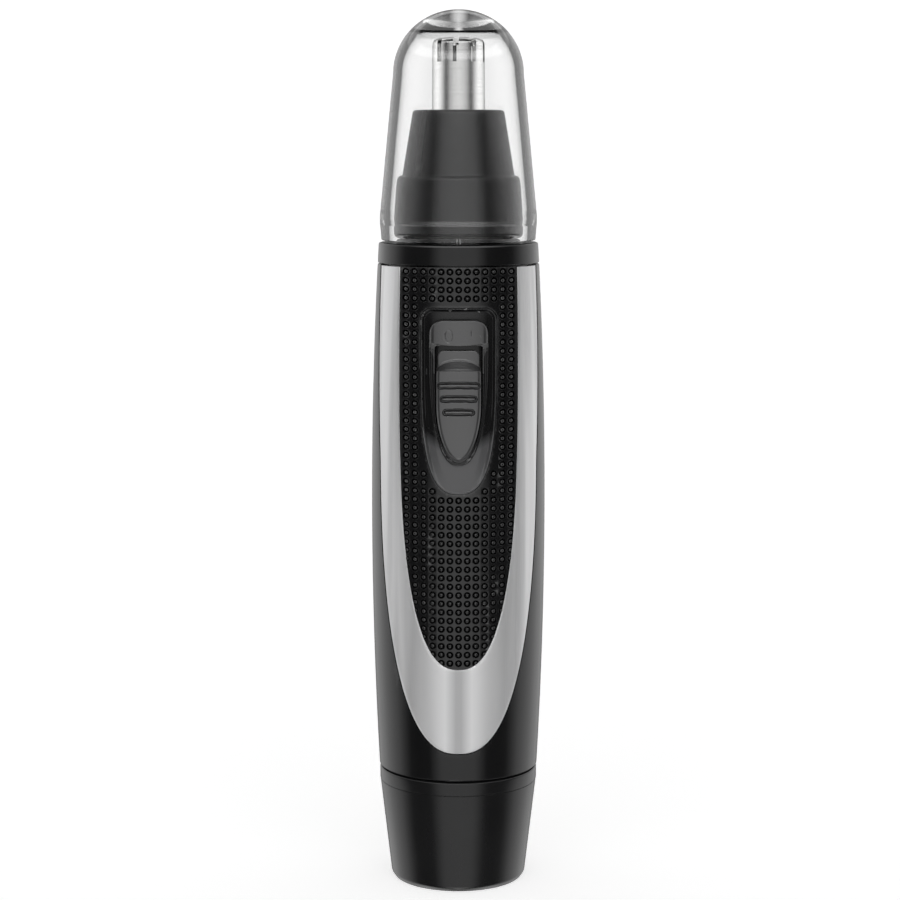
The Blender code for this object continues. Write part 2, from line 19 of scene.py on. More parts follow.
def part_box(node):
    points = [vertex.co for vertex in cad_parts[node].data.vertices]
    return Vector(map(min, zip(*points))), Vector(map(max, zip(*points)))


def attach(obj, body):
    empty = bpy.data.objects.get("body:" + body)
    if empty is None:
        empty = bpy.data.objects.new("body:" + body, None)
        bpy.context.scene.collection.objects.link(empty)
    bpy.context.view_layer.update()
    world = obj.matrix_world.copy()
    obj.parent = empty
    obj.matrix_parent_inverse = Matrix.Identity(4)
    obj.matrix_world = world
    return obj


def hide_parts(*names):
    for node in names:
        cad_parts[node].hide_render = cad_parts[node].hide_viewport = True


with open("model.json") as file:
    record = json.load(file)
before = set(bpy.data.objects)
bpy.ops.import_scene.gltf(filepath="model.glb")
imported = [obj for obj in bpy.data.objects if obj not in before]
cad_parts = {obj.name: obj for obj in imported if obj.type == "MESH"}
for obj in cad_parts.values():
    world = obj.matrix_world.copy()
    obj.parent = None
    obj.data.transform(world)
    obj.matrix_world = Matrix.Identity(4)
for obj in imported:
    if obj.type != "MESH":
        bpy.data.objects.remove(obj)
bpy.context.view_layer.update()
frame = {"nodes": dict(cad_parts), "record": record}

MM = 0.001


def low(node):
    """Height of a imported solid's lowest point, in millimetres."""
    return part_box(node)[0].z / MM


def high(node):
    """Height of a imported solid's highest point, in millimetres."""
    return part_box(node)[1].z / MM


def reach(node):
    """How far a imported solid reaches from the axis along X, in millimetres."""
    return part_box(node)[1].x / MM


# Driving dimensions, in millimetres
HEIGHT = high("protective_cap")
COVER_LOW = low("protective_cap")
HEAD_LOW, SHROUD_TOP = low("head_shroud"), high("head_shroud")
TUBE_LOW, TUBE_TOP = low("guard_tube"), high("guard_tube")
COLLAR_STEP = high("collar_ring")
BODY_LOW, BODY_TOP = low("body_housing"), high("body_housing")
CAP_TOP = high("battery_cap")
BODY_RADIUS = reach("body_housing")
COLLAR_RADIUS = reach("collar_ring")
COVER_RADIUS = reach("protective_cap")
BODY_WAIST = 56.5  # height of the barrel's widest point
BODY_ARC = 720.0  # radius of the long arc of the barrel's side

TRIM_TIP, TRIM_HALF, TRIM_BEND = low("front_trim"), 11.6, 46.0
PAD_TIP, PAD_HALF, PAD_BEND = low("grip_pad") - 0.2, 8.65, 38.0
INLAY = 0.7  # depth of the trim and the pad
SIDES = 160  # facets of the turned pieces
SHARP = math.radians(34)  # edges that turn more than this are shaded sharp
TRIM_RISE = 0.1  # how far the trim stands proud of the barrel

DOT_PITCH = 1.2833
DOT_TOP = BODY_TOP - 0.69  # height of the highest row of dots
DOT_CORNERS = 16  # points round one dot


def barrel(z):
    """Radius of the body's outer face at height z."""
    return BODY_RADIUS - (z - BODY_WAIST) ** 2 / (2 * BODY_ARC)


# Mesh helpers


def make_object(name, verts, faces, finishes):
    """A mesh object from points in millimetres, shaded smooth up to the sharp angle."""
    mesh = bpy.data.meshes.new(name)
    mesh.from_pydata([tuple(float(c) * MM for c in v) for v in verts], [], faces)
    for finish in finishes:
        mesh.materials.append(bpy.data.materials[finish])
    bm = bmesh.new()
    bm.from_mesh(mesh)
    bmesh.ops.remove_doubles(bm, verts=bm.verts, dist=2e-7)
    bmesh.ops.recalc_face_normals(bm, faces=bm.faces)
    bm.to_mesh(mesh)
    bm.free()
    mesh.shade_smooth()
    mesh.set_sharp_from_angle(angle=SHARP)
    obj = bpy.data.objects.new(name, mesh)
    bpy.context.scene.collection.objects.link(obj)
    return obj


def place_piece(obj, body, node):
    """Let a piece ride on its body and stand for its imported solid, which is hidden."""
    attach(obj, body)
    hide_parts(node)


def apply_cut(obj, tools):
    """Cut an object with the tools, keep the result and remove the tools."""
    for tool in tools:
        step = obj.modifiers.new(tool.name, "BOOLEAN")
        step.solver = "EXACT"
        step.operation = "DIFFERENCE"
        step.object = tool
    graph = bpy.context.evaluated_depsgraph_get()
    mesh = bpy.data.meshes.new_from_object(obj.evaluated_get(graph))
    obj.modifiers.clear()
    obj.data = mesh
    for tool in tools:
        bpy.data.objects.remove(tool)
    mesh.shade_smooth()
    mesh.set_sharp_from_angle(angle=SHARP)


def soften(corners, steps=5):
    """A profile whose (r, z, radius) corners are replaced by short curves."""
    points = []
    for i, corner in enumerate(corners):
        here = Vector(corner[:2])
        if len(corner) < 3:
            points.append(tuple(here))
            continue
        before = Vector(corners[i - 1][:2]) - here
        after = Vector(corners[(i + 1) % len(corners)][:2]) - here
        turn = (math.pi - before.angle(after)) / 2
        back = min(corner[2] * math.tan(turn), 0.48 * before.length, 0.48 * after.length)
        start, end = here + before.normalized() * back, here + after.normalized() * back
        for k in range(steps + 1):
            t = k / steps
            points.append(tuple(start * (1 - t) ** 2 + here * 2 * t * (1 - t) + end * t * t))
    return points


def turned(name, profile, finishes, z=0.0, sides=SIDES):
    """A (radius, height) profile turned about the axis; it is closed unless it ends on the axis."""
    count = len(profile)
    closed = profile[0][0] > 1e-6
    verts, faces = [], []
    for i in range(sides):
        angle = math.tau * (i + 0.5) / sides
        verts += [(r * math.sin(angle), -r * math.cos(angle), z + h) for r, h in profile]
    for i in range(sides):
        near, far = i * count, (i + 1) % sides * count
        for j in range(count if closed else count - 1):
            k = (j + 1) % count
            corners = [near + j, far + j, far + k, near + k]
            if profile[j][0] < 1e-6:
                corners = [near + j, far + k, near + k]
            elif profile[k][0] < 1e-6:
                corners = [near + j, far + j, near + k]
            faces.append(corners)
    return make_object(name, verts, faces, finishes)


def block(name, size, centre, turn=0.0):
    """A box used as a cutter or joined to a piece, turned about the axis by an angle."""
    half = [s / 2 for s in size]
    spin = Matrix.Rotation(turn, 3, "Z")
    verts = []
    for x in (-half[0], half[0]):
        for y in (-half[1], half[1]):
            for z in (-half[2], half[2]):
                verts.append(spin @ (Vector((x, y, z)) + Vector(centre)))
    faces = [(0, 1, 3, 2), (4, 6, 7, 5), (0, 4, 5, 1), (2, 3, 7, 6), (0, 2, 6, 4), (1, 5, 7, 3)]
    return make_object(name, verts, faces, [])


# Outlines and reliefs on the front


def on_front(x, z, offset):
    """Points on the barrel's front at (x, z), moved out by the offset."""
    x, z, offset = np.broadcast_arrays(x, z, offset)
    depth = np.sqrt(np.maximum((barrel(z) + offset) ** 2 - x**2, 0.0))
    return np.stack([x, -depth, z], axis=-1)


def flare(z):
    """How much the sides of the trim swell above the bend and draw in under the collar."""
    return np.where(z > 65.5, 0.16 - 0.35 * ((z - 77.0) / 17.0) ** 2, 0.0)


def oval_side(half, tip, bend, power, steps):
    """Right side of a pointed oval from its tip up to its full width, as (x, z) rows."""
    angle = np.linspace(0.0, math.pi / 2, steps)
    x = half * np.sin(angle) ** (2 / power)
    z = tip + bend * (1 - np.cos(angle) ** (2 / power))
    return np.column_stack([x, z])


def side_of_u(half, tip, bend, top, swell, steps=90):
    """Right side of a U from its tip to the top."""
    lower = oval_side(half, tip, bend, 2.5, steps)
    z = np.linspace(tip + bend, top, 30)[1:]
    side = np.vstack([lower, np.column_stack([np.full_like(z, half), z])])
    side[:, 0] += swell * flare(side[:, 1])
    return side


def side_of_shield(half, tip, bend, power, top, corner, steps=60):
    """Right side of a shield: a pointed oval under a flat top with a round corner."""
    lower = oval_side(half, tip, bend, power, steps)
    turn = np.linspace(0.0, math.pi / 2, 14)
    rise = np.linspace(tip + bend, top - corner, 24)[1:-1]
    straight = np.column_stack([np.full_like(rise, half), rise])
    x, z = half - corner + corner * np.cos(turn), top - corner + corner * np.sin(turn)
    return np.vstack([lower, straight, np.column_stack([x, z])])


def whole_outline(side):
    """Closed outline from its right side: up the right, over the top and down the left."""
    return loop_of(side, max(int(side[-1, 0] / 0.15), 1))


def edge_distance(x, z, outline):
    """Distance from the points to the closed outline."""
    points = np.column_stack([np.ravel(x), np.ravel(z)])
    start, end = outline, np.roll(outline, -1, axis=0)
    best = np.full(len(points), 1e9)
    for a, b in zip(start, end):
        run = b - a
        length = max(float(run @ run), 1e-12)
        t = np.clip((points - a) @ run / length, 0, 1)
        best = np.minimum(best, np.linalg.norm(points - a - t[:, None] * run, axis=1))
    return best.reshape(np.shape(x))


def inside(x, z, side):
    """Whether points lie inside the outline with that right side."""
    width = np.interp(z, side[:, 1], side[:, 0], left=-1.0, right=-1.0)
    return np.abs(x) < width


def smooth(t):
    """Smooth step from 0 to 1."""
    t = np.clip(t, 0.0, 1.0)
    return t * t * (3 - 2 * t)


def round_off(distance, radius):
    """Drop of a rounded edge at a distance from it."""
    inner = np.clip(radius - distance, 0.0, radius)
    return radius - np.sqrt(radius**2 - inner**2)


def grid_faces(rows, columns, start=0):
    """Quads between the points of a grid."""
    faces = []
    for i in range(rows - 1):
        for j in range(columns - 1):
            k = start + i * columns + j
            faces.append((k, k + 1, k + columns + 1, k + columns))
    return faces


def stations(side, spacing):
    """Heights that follow an outline closely and are never further apart than the spacing."""
    steps = np.linalg.norm(np.diff(side, axis=0), axis=1)
    length = np.concatenate([[0.0], np.cumsum(steps)])
    along = np.linspace(0.0, length[-1], int(length[-1] / spacing) + 2)
    found = np.interp(along, length, side[:, 1])
    found = np.unique(np.concatenate([found, side[[0, -1], 1]]).round(4))
    keep = np.concatenate([[True], np.diff(found) > spacing * 0.02])
    return found[keep]


def relief(name, side, spacing, columns, height, base, finishes):
    """A slab inside an outline on the front whose top follows height(x, z)."""
    z = stations(side, spacing)
    across = np.sin(np.linspace(-math.pi / 2, math.pi / 2, columns))
    width = np.interp(z, side[:, 1], side[:, 0])
    x = width[:, None] * across[None, :]
    z = np.repeat(z[:, None], columns, axis=1)
    rows = len(z)
    verts = np.vstack(
        [on_front(x, z, height(x, z)).reshape(-1, 3), on_front(x, z, base).reshape(-1, 3)]
    )
    under = rows * columns
    faces = grid_faces(rows, columns)
    faces += [f[::-1] for f in grid_faces(rows, columns, under)]
    for i in range(rows - 1):
        a, b = i * columns, (i + 1) * columns
        faces.append((a, b, b + under, a + under))
        a, b = a + columns - 1, b + columns - 1
        faces.append((b, a, a + under, b + under))
    for j in range(columns - 1):
        a = (rows - 1) * columns + j
        faces.append((a, a + 1, a + 1 + under, a + under))
        if width[0] > 1e-6:
            faces.append((j + 1, j, j + under, j + 1 + under))
    return make_object(name, verts, drop_collapsed(verts, faces), finishes)


def drop_collapsed(verts, faces):
    """Faces without the corners that fall on one point, and without those left with two."""
    key = [tuple(v) for v in np.round(verts, 6)]
    kept = []
    for face in faces:
        corners = [v for i, v in enumerate(face) if key[v] != key[face[i - 1]]]
        if len({key[v] for v in corners}) > 2:
            kept.append(tuple(corners))
    return kept


def swept(name, outer, inner, section, finishes, closed):
    """A band between two matching outlines whose closed section may change along it.

    section(i, gap) gives the (distance from the outer outline, offset) points of station i.
    """
    gap = np.linalg.norm(outer - inner, axis=1)
    verts, count = [], 0
    for i in range(len(outer)):
        cross = section(i, gap[i])
        count = len(cross)
        share = (cross[:, 0] / gap[i])[:, None]
        points = outer[i] + (inner[i] - outer[i]) * share
        verts.append(on_front(points[:, 0], points[:, 1], cross[:, 1]))
    verts = np.vstack(verts)
    faces = []
    stops = len(outer) if closed else len(outer) - 1
    for i in range(stops):
        near, far = i * count, (i + 1) % len(outer) * count
        for j in range(count):
            k = (j + 1) % count
            faces.append((near + j, near + k, far + k, far + j))
    if not closed:
        faces.append(tuple(range(count))[::-1])
        faces.append(tuple(range(len(verts) - count, len(verts))))
    return make_object(name, verts, drop_collapsed(verts, faces), finishes)


# Materials


class Nodes:
    """A Principled material with short ways to add and link procedural nodes."""

    def __init__(self, name, colour, roughness, metallic=0.0, ior=1.5):
        self.material = bpy.data.materials.new(name)
        self.material.use_nodes = True
        self.tree = self.material.node_tree
        self.shader = self.tree.nodes["Principled BSDF"]
        self.set("Base Color", (*colour, 1.0))
        self.set("Roughness", roughness)
        self.set("Metallic", metallic)
        self.set("IOR", ior)
        self.place = self.add("ShaderNodeTexCoord").outputs["Object"]

    def set(self, socket, value):
        """Give a shader socket a constant value."""
        self.shader.inputs[socket].default_value = value

    def add(self, kind, links=None, **settings):
        """Add a node with its properties and link what is named."""
        node = self.tree.nodes.new(kind)
        for key, value in settings.items():
            setattr(node, key, value)
        for socket, source in (links or {}).items():
            self.tree.links.new(source, node.inputs[socket])
        return node

    def link(self, source, socket):
        """Link an output to the shader."""
        self.tree.links.new(source, self.shader.inputs[socket])

    def scaled(self, scale):
        """Object coordinates multiplied by a scale, which may differ by axis."""
        mapping = self.add("ShaderNodeMapping", {"Vector": self.place})
        mapping.inputs["Scale"].default_value = scale
        return mapping.outputs["Vector"]

    def noise(self, scale, detail=3.0, stretch=(1, 1, 1)):
        """A noise of about that many features a metre."""
        node = self.add(
            "ShaderNodeTexNoise", {"Vector": self.scaled([scale * s for s in stretch])}
        )
        node.inputs["Scale"].default_value = 1.0
        node.inputs["Detail"].default_value = detail
        return node.outputs["Fac"]

    def spread(self, source, low_value, high_value, start=0.3, end=0.7):
        """A factor mapped from its usual range onto two values."""
        node = self.add("ShaderNodeMapRange", {"Value": source})
        node.inputs["From Min"].default_value = start
        node.inputs["From Max"].default_value = end
        node.inputs["To Min"].default_value = low_value
        node.inputs["To Max"].default_value = high_value
        return node.outputs["Result"]

    def mix(self, factor, first, second):
        """Two colours mixed by a factor; either may be a node's output."""
        node = self.tree.nodes.new("ShaderNodeMix")
        node.data_type = "RGBA"
        self.tree.links.new(factor, node.inputs["Factor"])
        for value, socket in ((first, node.inputs[6]), (second, node.inputs[7])):
            if isinstance(value, bpy.types.NodeSocket):
                self.tree.links.new(value, socket)
            else:
                socket.default_value = (*value, 1.0)
        return node.outputs[2]

    def bump(self, layers):
        """Stack bumps, each a (height output, depth in metres, strength)."""
        normal = None
        for height, depth, strength in layers:
            node = self.add("ShaderNodeBump", {"Height": height})
            node.inputs["Distance"].default_value = depth
            node.inputs["Strength"].default_value = strength
            if normal:
                self.tree.links.new(normal, node.inputs["Normal"])
            normal = node.outputs["Normal"]
        self.link(normal, "Normal")

    def rub_and_sheen_edges(self, colour, rubbed_and_sheen, amount=1.0):
        """Lighten the raised edges towards a lighter colour: partly rubbing, partly a painted highlight
        on rims, ribs and dome tops.
        """
        edge = self.add("ShaderNodeNewGeometry").outputs["Pointiness"]
        # Painted highlight: convex edges found by pointiness take the lighter colour, in patches.
        mask = self.spread(edge, 0.0, amount, 0.52, 0.62)
        patchy = self.spread(self.noise(900.0), 0.35, 1.0)
        both = self.add("ShaderNodeMath", {0: mask, 1: patchy}, operation="MULTIPLY")
        return self.mix(both.outputs[0], colour, rubbed_and_sheen)


def moulded(name, colour, varied, roughness, grain, ior=1.5, rubbed_and_sheen=None, depth=4e-6):
    """Moulded plastic or rubber: mottled colour, uneven gloss and a fine moulded grain."""
    m = Nodes(name, colour, roughness[0], ior=ior)
    shade = m.mix(m.spread(m.noise(140.0), 0.0, 1.0), colour, varied)
    # Raised edges are lightened: partly rubbing, partly a painted highlight.
    if rubbed_and_sheen:
        shade = m.rub_and_sheen_edges(shade, rubbed_and_sheen)
    m.link(shade, "Base Color")
    m.link(m.spread(m.noise(60.0, 4.0), *roughness), "Roughness")
    m.bump([(m.noise(grain, 2.0), depth, 0.6), (m.noise(45.0, 2.0), 1.2e-5, 0.35)])
    return m


def brushed(name, colour, varied, roughness, stretch, depth=1.5e-6):
    """Metal drawn or brushed along one direction, with faint stains."""
    m = Nodes(name, colour, roughness[0], metallic=1.0)
    lines = 9000.0  # streaks across a metre
    streaks = m.noise(lines, 2.0, stretch)
    shade = m.mix(m.spread(streaks, 0.0, 1.0), colour, varied)
    m.link(shade, "Base Color")
    m.link(m.spread(m.noise(lines * 0.3, 3.0, stretch), *roughness), "Roughness")
    m.bump([(streaks, depth, 0.5), (m.noise(120.0), 4e-6, 0.25)])
    return m


def clear_plastic():
    """Clear moulded acrylic, with painted shade that greys it where it is seen edge on."""
    m = Nodes("clear_plastic", (1.0, 1.0, 1.0), 0.015, ior=1.49)
    m.set("Transmission Weight", 1.0)
    edge = m.add("ShaderNodeLayerWeight")
    edge.inputs["Blend"].default_value = 0.5
    # Painted shade: the colour turns grey at grazing angles, standing in for the darker views through
    # the cover's edges.
    grey = m.spread(edge.outputs["Facing"], 0.0, 1.0, 0.6, 1.0)
    m.link(m.mix(grey, (0.985, 0.985, 0.985), (0.46, 0.465, 0.47)), "Base Color")
    m.bump([(m.noise(70.0, 2.0), 8e-6, 0.12)])


def satin_silver():
    """Satin finish of the trim, brushed along the body, with a painted highlight that lightens it round
    the foot of the U and a painted dark reflection that dulls it in the middle.
    """
    m = brushed("satin_silver", (0.66, 0.66, 0.665), (0.74, 0.74, 0.745), (0.33, 0.42), (1, 1, 0.02),
                depth=3e-7)
    shade = m.shader.inputs["Base Color"].links[0].from_socket
    bands = m.spread(m.noise(420.0, 1.0, (1, 1, 0.04)), 0.0, 1.0, 0.4, 0.6)
    shade = m.mix(bands, shade, (0.92, 0.92, 0.925))
    across = m.add("ShaderNodeSeparateXYZ", {0: m.place}).outputs["X"]
    aside = m.add("ShaderNodeMath", {0: across}, operation="ABSOLUTE").outputs[0]
    # Painted highlight: within 5.5 mm of the middle, round the foot of the U, the colour is lifted to
    # near white.
    front = m.spread(aside, 1.0, 0.0, 5.5 * MM, 8.5 * MM)
    shade = m.mix(front, shade, (0.98, 0.98, 0.985))
    # Painted reflection: within 2 mm of the middle a darker colour stands in for a dark reflection down
    # the trim.
    middle = m.spread(aside, 1.0, 0.0, 0.4 * MM, 2.0 * MM)
    m.link(m.mix(middle, shade, (0.58, 0.58, 0.585)), "Base Color")
    m.set("Metallic", 0.5)
    m.set("Anisotropic", 0.3)


def cell_jacket():
    """Printed film of the cell: two plain bands of colour, lightly mottled."""
    m = Nodes("cell_jacket", (0.10, 0.16, 0.24), 0.3, metallic=0.6)
    height = m.add("ShaderNodeSeparateXYZ", {"Vector": m.place}).outputs["Z"]
    band = low("aa_cell") + 36.0
    mask = m.spread(height, 0.0, 1.0, band * MM, (band + 0.15) * MM)
    film = m.mix(mask, (0.05, 0.09, 0.16), (0.62, 0.45, 0.26))
    m.link(m.mix(m.spread(m.noise(200.0), 0.0, 0.25), film, (0.3, 0.3, 0.3)), "Base Color")
    m.link(m.spread(m.noise(80.0), 0.24, 0.36), "Roughness")
    m.bump([(m.noise(3000.0), 2e-6, 0.4)])


def copper_winding():
    """Enamelled wire: fine turns round the armature with a darker varnish between them."""
    m = Nodes("copper_winding", (0.55, 0.24, 0.10), 0.3, metallic=0.9)
    wave = m.add("ShaderNodeTexWave", {"Vector": m.scaled((2600.0, 2600.0, 2600.0))})
    wave.bands_direction = "Z"
    wave.inputs["Scale"].default_value = 1.0
    turns = wave.outputs["Fac"]
    m.link(m.mix(turns, (0.20, 0.07, 0.03), (0.66, 0.30, 0.13)), "Base Color")
    m.link(m.spread(turns, 0.45, 0.25, 0.0, 1.0), "Roughness")
    m.bump([(turns, 6e-5, 0.6)])


def recess_plastic():
    """Switch surround in grey, with painted shade that turns it black in the deep channel above the
    thumb ramp.
    """
    # The black base colour here is the painted shade of the channel, and the lighter edge colour is a
    # painted highlight along the recess rim.
    m = moulded("recess_plastic", (0.010, 0.010, 0.0105), (0.013, 0.013, 0.0135), (0.20, 0.28), 5200.0,
                rubbed_and_sheen=(0.30, 0.30, 0.30))
    parts = m.add("ShaderNodeSeparateXYZ", {"Vector": m.place})
    across = m.add("ShaderNodeMath", {0: parts.outputs["X"]}, operation="ABSOLUTE").outputs[0]
    slope = m.add("ShaderNodeMath", {0: across}, operation="MULTIPLY")
    slope.inputs[1].default_value = 0.62
    line = m.add("ShaderNodeMath", {0: parts.outputs["Z"], 1: slope.outputs[0]}, operation="SUBTRACT")
    # Painted shade: above a line that slants up towards the sides the surround is black, standing in
    # for the shade of its deep channel. Below it the thumb ramp keeps its own grey.
    ramp = m.spread(line.outputs[0], 1.0, 0.0, 65.6 * MM, 67.4 * MM)
    black = m.shader.inputs["Base Color"].links[0].from_socket
    m.link(m.mix(ramp, black, (0.125, 0.125, 0.128)), "Base Color")


def make_materials():
    """Every finish of the trimmer."""
    clear_plastic()
    # The lighter edge colours below are partly rubbing and partly painted highlight: on the grip they
    # light the dome tops and groove rims, and on the switch, frame and recess they light the rims and
    # ridges.
    moulded("gloss_black", (0.009, 0.009, 0.0095), (0.012, 0.012, 0.0125), (0.11, 0.17), 7000.0,
            rubbed_and_sheen=(0.05, 0.05, 0.05), depth=1e-6)
    moulded("satin_black", (0.012, 0.012, 0.0125), (0.016, 0.016, 0.0165), (0.14, 0.22), 6000.0,
            rubbed_and_sheen=(0.05, 0.05, 0.05), depth=2e-6)
    satin_silver()
    moulded("grip_rubber", (0.006, 0.006, 0.0065), (0.009, 0.009, 0.0095), (0.17, 0.25), 7000.0,
            ior=1.62, rubbed_and_sheen=(0.13, 0.13, 0.13), depth=2e-6)
    moulded("switch_grey", (0.033, 0.033, 0.034), (0.040, 0.040, 0.041), (0.26, 0.34), 5200.0,
            ior=2.05, rubbed_and_sheen=(0.10, 0.10, 0.103))
    recess_plastic()
    moulded("frame_black", (0.010, 0.010, 0.0105), (0.013, 0.013, 0.0135), (0.20, 0.28), 5200.0,
            rubbed_and_sheen=(0.18, 0.18, 0.18))
    brushed("blade_steel", (0.72, 0.72, 0.715), (0.80, 0.80, 0.795), (0.10, 0.18), (0.02, 0.02, 1))
    brushed("spring_steel", (0.50, 0.49, 0.47), (0.60, 0.59, 0.57), (0.22, 0.32), (1, 1, 0.2))
    brushed("contact_nickel", (0.64, 0.60, 0.52), (0.72, 0.68, 0.58), (0.24, 0.36), (1, 1, 0.05))
    moulded("inner_plastic", (0.60, 0.60, 0.57), (0.66, 0.66, 0.63), (0.38, 0.50), 3000.0)
    moulded("seal_rubber", (0.016, 0.016, 0.016), (0.026, 0.026, 0.026), (0.45, 0.60), 2500.0)
    moulded("magnet_grey", (0.08, 0.08, 0.082), (0.13, 0.13, 0.13), (0.5, 0.7), 4000.0, depth=1e-5)
    moulded("paint_mark", (0.80, 0.80, 0.80), (0.85, 0.85, 0.85), (0.4, 0.5), 3000.0)
    cell_jacket()
    copper_winding()


# Turned pieces


def cover():
    """Clear domed cover with a rounded rim, a soft step inside its foot and a thick crown."""
    wall, dome_z, dome_radius = 1.3, 24.6, 9.72
    top = HEIGHT - COVER_LOW
    rise = top - dome_z
    foot = COVER_RADIUS - 0.22
    outer = [(foot, 0.0, 0.15), (COVER_RADIUS, 2.6, 0.3), (COVER_RADIUS, 3.6, 3.0)]
    outer += [(10.7, 14.5, 40.0)]
    inner = [(10.38, 0.0, 0.15), (10.42, 2.3, 0.6), (10.27, 3.1, 0.6), (10.3, 4.4, 0.8)]
    inner += [(9.4, 14.5, 40.0)]
    dome_out, dome_in = [], []
    steps = 40
    for i in range(steps):
        angle = math.pi / 2 * i / steps
        across, up = math.cos(angle), math.sin(angle)
        dome_out.append((dome_radius * across, dome_z + rise * up))
        if angle < math.radians(34):
            dome_in.append(((dome_radius - wall) * across, dome_z + (rise - wall) * up))
    ceiling = [(0.0, 30.5), (3.0, 30.42), (6.25, 30.15, 1.2)]
    corners = ceiling + dome_in[::-1] + inner[::-1] + outer + dome_out + [(0.0, top)]
    obj = turned("clear_cover", soften(corners), ["clear_plastic"], COVER_LOW)
    place_piece(obj, "cover", "protective_cap")


def shroud():
    """Black conical shroud with a soft shoulder above its band."""
    top = SHROUD_TOP - HEAD_LOW
    outer = [(9.45, 0.0, 0.12), (9.66, 0.25, 0.2), (9.66, 2.0, 6.0), (9.30, 6.9, 2.0)]
    outer += [(9.08, 8.25, 0.95), (8.36, 8.5, 0.22), (6.78, top, 0.6)]
    inner = [(4.35, top, 0.1), (4.35, top - 1.2), (5.4, top - 1.2), (6.9, 7.8), (8.3, 7.4), (8.35, 0.0)]
    obj = turned("shroud", soften(outer + inner, 8), ["gloss_black"], HEAD_LOW)
    place_piece(obj, "head", "head_shroud")


def guard():
    """Steel guard tube with a rounded end and slots over its edge."""
    top = TUBE_TOP - TUBE_LOW
    wall, radius, slots, slot_width = 0.7, 4.0, 9, 0.85
    slot_low = 123.95
    corners = [(0.0, top - wall), (3.15, top - wall, 0.4), (3.3, 0.0), (5.2, 0.0), (5.2, 0.8)]
    corners += [(radius, 0.8), (3.87, top, 0.95), (0.0, top)]
    tube = turned("guard_tube_piece", soften(corners, 8), ["blade_steel"], TUBE_LOW, 108)
    tools = []
    for i in range(slots):
        angle = math.radians(-96 + 360 * i / slots)
        centre = (3.35, 0.0, slot_low + 3.0)
        tools.append(block(f"slot_tool_{i}", (3.3, slot_width, 6.0), centre, angle))
    apply_cut(tube, tools)
    place_piece(tube, "head", "guard_tube")


def collar():
    """Gloss black band under the clear cover, with the printed twist mark on its step."""
    base = BODY_TOP + 0.2
    band = 97.4 - base
    step = COLLAR_STEP - base
    corners = [(10.4, -1.7), (10.4, 0.0), (COLLAR_RADIUS, 0.0, 0.1), (11.96, band - 0.36, 0.1)]
    corners += [(11.885, band - 0.12, 0.1), (11.6, band, 0.15), (9.3, band), (9.3, step, 0.2)]
    corners += [(7.1, step), (7.1, -1.7)]
    ring = turned("collar_band", soften(corners), ["gloss_black", "paint_mark"], base)
    marks = []
    for side in (-0.22, 0.22):
        marks.append(block("twist_mark", (0.15, 0.12, 0.88), (side, -9.33, base + band + 0.48)))
    for mark in marks:
        mark.data.materials.append(bpy.data.materials["gloss_black"])
        mark.data.materials.append(bpy.data.materials["paint_mark"])
        mark.data.polygons.foreach_set("material_index", [1] * len(mark.data.polygons))
    join_pieces(ring, marks)
    place_piece(ring, "handle", "collar_ring")


def join_pieces(obj, others):
    """Join other meshes, which are removed, to an object's mesh."""
    bm = bmesh.new()
    bm.from_mesh(obj.data)
    for other in others:
        bm.from_mesh(other.data)
        bpy.data.objects.remove(other)
    bm.to_mesh(obj.data)
    bm.free()


def battery_cap():
    """Tapered black cap with a fine seam line round it, and its two lugs inside."""
    seam = 15.35
    rim = barrel(CAP_TOP) - 0.03
    outer = [(0.0, 0.0), (9.75, 0.0, 0.1), (10.25, 0.7, 0.9), (11.95, seam - 0.1, 0.04)]
    outer += [(11.86, seam - 0.04), (11.86, seam + 0.04), (11.99, seam + 0.1, 0.04)]
    outer += [(rim, CAP_TOP - 0.02, 0.3), (10.3, CAP_TOP, 0.1)]
    inner = [(10.3, 9.2), (8.7, 8.6), (8.7, 1.8, 0.3), (0.0, 1.8)]
    cap = turned("battery_cap_shell", soften(outer + inner), ["satin_black"])
    lugs = [sector(f"cap_lug_{i}", 9.55, 10.4, 10.4, 12.0, side) for i, side in enumerate((0, 180))]
    for lug in lugs:
        lug.data.materials.append(bpy.data.materials["satin_black"])
    join_pieces(cap, lugs)
    place_piece(cap, "battery_door", "battery_cap")


def sector(name, inner, outer, base, top, middle, span=12.0):
    """A wedge between two radii about a direction, in degrees."""
    angles = np.radians(np.linspace(middle - span / 2, middle + span / 2, 7))
    ring_points = [(outer * math.cos(a), outer * math.sin(a)) for a in angles]
    ring_points += [(inner * math.cos(a), inner * math.sin(a)) for a in angles[::-1]]
    count = len(ring_points)
    verts = [(x, y, z) for z in (base, top) for x, y in ring_points]
    faces = [tuple(range(count))[::-1], tuple(range(count, 2 * count))]
    faces += [(i, (i + 1) % count, (i + 1) % count + count, i + count) for i in range(count)]
    return make_object(name, verts, faces, [])


# Pieces on the front


def trim_side(grow=0.0):
    """Right side of the trim's outer outline."""
    return side_of_u(TRIM_HALF + grow, TRIM_TIP - grow, TRIM_BEND, BODY_TOP - 0.1, 1.0)


def pad_side(grow=0.0):
    """Right side of the pad's outline, which is the trim's inner one."""
    return side_of_u(PAD_HALF + grow, PAD_TIP - grow, PAD_BEND, BODY_TOP - 0.1, 0.5)


def recess_side(grow=0.0):
    """Right side of the switch recess."""
    return side_of_shield(5.55 + grow, 61.1 - grow, 18.9, 2.8, 88.3 + grow, 1.9)


def frame_side():
    """Right side of the raised frame round the slider."""
    return side_of_shield(4.3, 65.3, 17.6, 2.5, 86.6, 2.1)


